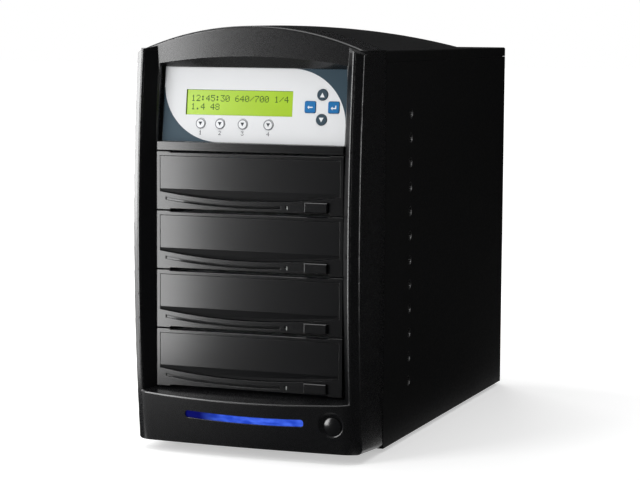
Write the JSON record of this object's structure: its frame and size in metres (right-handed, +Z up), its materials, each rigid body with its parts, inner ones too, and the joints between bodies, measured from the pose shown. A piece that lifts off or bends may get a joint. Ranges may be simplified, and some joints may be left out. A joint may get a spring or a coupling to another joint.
{
  "type": "cd dvd duplicator tower",
  "caption": "Black disc copying tower: domed steel case, bowed moulded front, disc drives with sliding trays and press buttons, key panel with display, lit chin and power button.",
  "frame": {"origin": "middle of the overall box, on the floor under the feet", "axes": "+X to the right seen from the front, +Y to the back, +Z up; the drives face -Y"},
  "size_m": [0.177, 0.3884, 0.3148],
  "materials": {
    "case_paint": "satin, fine texture",
    "plated_steel": "galvanised",
    "bezel_plastic": "fine satin",
    "drive_plastic": "satin",
    "tray_plastic": "matte",
    "overlay_film": "satin film",
    "dark_key": "satin",
    "blue_key": "satin",
    "white_key": "satin",
    "circuit_board": "solder mask",
    "display_glass": "lit from behind",
    "blue_light": "clear, lit from behind",
    "button_plastic": "gloss",
    "foot_rubber": "matte",
    "screw_steel": "plated",
    "fan_plastic": "satin",
    "inlet_plastic": "satin",
    "cable_sheath": "matte",
    "ribbon_sheath": "satin"
  },
  "bodies": {
    "case": {"base_pan": "case_paint", "rear_panel": "case_paint", "front_plate": "plated_steel", "left_side_panel": "case_paint", "right_side_panel": "case_paint", "top_cover": "case_paint", "front_bezel": "bezel_plastic", "cage_left": "plated_steel", "cage_right": "plated_steel", "rubber_feet": "foot_rubber", "thumbscrews": "screw_steel", "pan_head_screws": "screw_steel", "psu_case": "plated_steel", "psu_fan_frame": "fan_plastic", "mains_inlet": "inlet_plastic", "case_fan_frame": "fan_plastic", "controller_frame": "drive_plastic", "control_overlay": "overlay_film", "display_board": "display_glass", "controller_board": "circuit_board", "light_bar": "blue_light", "switch_board": "circuit_board", "power_harness": "cable_sheath", "data_cables": "ribbon_sheath", "drive_1_case": "plated_steel", "drive_1_bezel": "drive_plastic", "drive_2_case": "plated_steel", "drive_2_bezel": "drive_plastic", "drive_3_case": "plated_steel", "drive_3_bezel": "drive_plastic", "drive_4_case": "plated_steel", "drive_4_bezel": "drive_plastic"},
    "tray_1": {"drive_1_tray": "tray_plastic", "drive_1_tray_front": "drive_plastic"},
    "eject_1": {"drive_1_eject_button": "drive_plastic"},
    "spindle_1": {"drive_1_turntable": "tray_plastic"},
    "tray_2": {"drive_2_tray": "tray_plastic", "drive_2_tray_front": "drive_plastic"},
    "eject_2": {"drive_2_eject_button": "drive_plastic"},
    "spindle_2": {"drive_2_turntable": "tray_plastic"},
    "tray_3": {"drive_3_tray": "tray_plastic", "drive_3_tray_front": "drive_plastic"},
    "eject_3": {"drive_3_eject_button": "drive_plastic"},
    "spindle_3": {"drive_3_turntable": "tray_plastic"},
    "tray_4": {"drive_4_tray": "tray_plastic", "drive_4_tray_front": "drive_plastic"},
    "eject_4": {"drive_4_eject_button": "drive_plastic"},
    "spindle_4": {"drive_4_turntable": "tray_plastic"},
    "power_button": {"power_button": "button_plastic"},
    "key_up": {"key_up": "dark_key"},
    "key_down": {"key_down": "dark_key"},
    "key_escape": {"key_escape": "blue_key"},
    "key_enter": {"key_enter": "blue_key"},
    "key_function_1": {"key_function_1": "white_key"},
    "key_function_2": {"key_function_2": "white_key"},
    "key_function_3": {"key_function_3": "white_key"},
    "key_function_4": {"key_function_4": "white_key"},
    "rocker": {"rocker_switch": "inlet_plastic"},
    "psu_fan": {"psu_fan_rotor": "fan_plastic"},
    "case_fan": {"case_fan_rotor": "fan_plastic"}
  },
  "joints": [
    {"name": "tray_1_slide", "type": "slide", "parent": "case", "child": "tray_1", "axis": [0, -1, 0], "range_m": [0, 0.132]},
    {"name": "eject_1_press", "type": "slide", "parent": "case", "child": "eject_1", "axis": [0, 1, 0], "range_m": [0, 0.0012], "stiffness_N_per_m": 600, "springref_m": -0.0006},
    {"name": "spindle_1_spin", "type": "hinge", "parent": "case", "child": "spindle_1", "pos_m": [0, -0.11125, 0.1893], "axis": [0, 0, 1], "continuous": true},
    {"name": "tray_2_slide", "type": "slide", "parent": "case", "child": "tray_2", "axis": [0, -1, 0], "range_m": [0, 0.132]},
    {"name": "eject_2_press", "type": "slide", "parent": "case", "child": "eject_2", "axis": [0, 1, 0], "range_m": [0, 0.0012], "stiffness_N_per_m": 600, "springref_m": -0.0006},
    {"name": "spindle_2_spin", "type": "hinge", "parent": "case", "child": "spindle_2", "pos_m": [0, -0.11125, 0.1455], "axis": [0, 0, 1], "continuous": true},
    {"name": "tray_3_slide", "type": "slide", "parent": "case", "child": "tray_3", "axis": [0, -1, 0], "range_m": [0, 0.132]},
    {"name": "eject_3_press", "type": "slide", "parent": "case", "child": "eject_3", "axis": [0, 1, 0], "range_m": [0, 0.0012], "stiffness_N_per_m": 600, "springref_m": -0.0006},
    {"name": "spindle_3_spin", "type": "hinge", "parent": "case", "child": "spindle_3", "pos_m": [0, -0.11125, 0.1017], "axis": [0, 0, 1], "continuous": true},
    {"name": "tray_4_slide", "type": "slide", "parent": "case", "child": "tray_4", "axis": [0, -1, 0], "range_m": [0, 0.132]},
    {"name": "eject_4_press", "type": "slide", "parent": "case", "child": "eject_4", "axis": [0, 1, 0], "range_m": [0, 0.0012], "stiffness_N_per_m": 600, "springref_m": -0.0006},
    {"name": "spindle_4_spin", "type": "hinge", "parent": "case", "child": "spindle_4", "pos_m": [0, -0.11125, 0.0579], "axis": [0, 0, 1], "continuous": true},
    {"name": "power_press", "type": "slide", "parent": "case", "child": "power_button", "axis": [0, 1, 0], "range_m": [0, 0.0025], "stiffness_N_per_m": 400, "springref_m": -0.001},
    {"name": "key_up_press", "type": "slide", "parent": "case", "child": "key_up", "axis": [0, 0.992, -0.1262], "range_m": [0, 0.0006], "stiffness_N_per_m": 800, "springref_m": -0.0005},
    {"name": "key_down_press", "type": "slide", "parent": "case", "child": "key_down", "axis": [0, 0.992, -0.1262], "range_m": [0, 0.0006], "stiffness_N_per_m": 800, "springref_m": -0.0005},
    {"name": "key_escape_press", "type": "slide", "parent": "case", "child": "key_escape", "axis": [0, 0.992, -0.1262], "range_m": [0, 0.0006], "stiffness_N_per_m": 800, "springref_m": -0.0005},
    {"name": "key_enter_press", "type": "slide", "parent": "case", "child": "key_enter", "axis": [0, 0.992, -0.1262], "range_m": [0, 0.0006], "stiffness_N_per_m": 800, "springref_m": -0.0005},
    {"name": "key_function_1_press", "type": "slide", "parent": "case", "child": "key_function_1", "axis": [0, 0.992, -0.1262], "range_m": [0, 0.0006], "stiffness_N_per_m": 800, "springref_m": -0.0005},
    {"name": "key_function_2_press", "type": "slide", "parent": "case", "child": "key_function_2", "axis": [0, 0.992, -0.1262], "range_m": [0, 0.0006], "stiffness_N_per_m": 800, "springref_m": -0.0005},
    {"name": "key_function_3_press", "type": "slide", "parent": "case", "child": "key_function_3", "axis": [0, 0.992, -0.1262], "range_m": [0, 0.0006], "stiffness_N_per_m": 800, "springref_m": -0.0005},
    {"name": "key_function_4_press", "type": "slide", "parent": "case", "child": "key_function_4", "axis": [0, 0.992, -0.1262], "range_m": [0, 0.0006], "stiffness_N_per_m": 800, "springref_m": -0.0005},
    {"name": "rocker_tilt", "type": "hinge", "parent": "case", "child": "rocker", "pos_m": [0.0421, 0.18675, 0.062], "axis": [-1, 0, 0], "range_deg": [0, 22]},
    {"name": "psu_fan_spin", "type": "hinge", "parent": "case", "child": "psu_fan", "pos_m": [-0.0266, 0.17375, 0.049], "axis": [0, 1, 0], "continuous": true},
    {"name": "case_fan_spin", "type": "hinge", "parent": "case", "child": "case_fan", "pos_m": [0, 0.17375, 0.175], "axis": [0, 1, 0], "continuous": true}
  ]
}
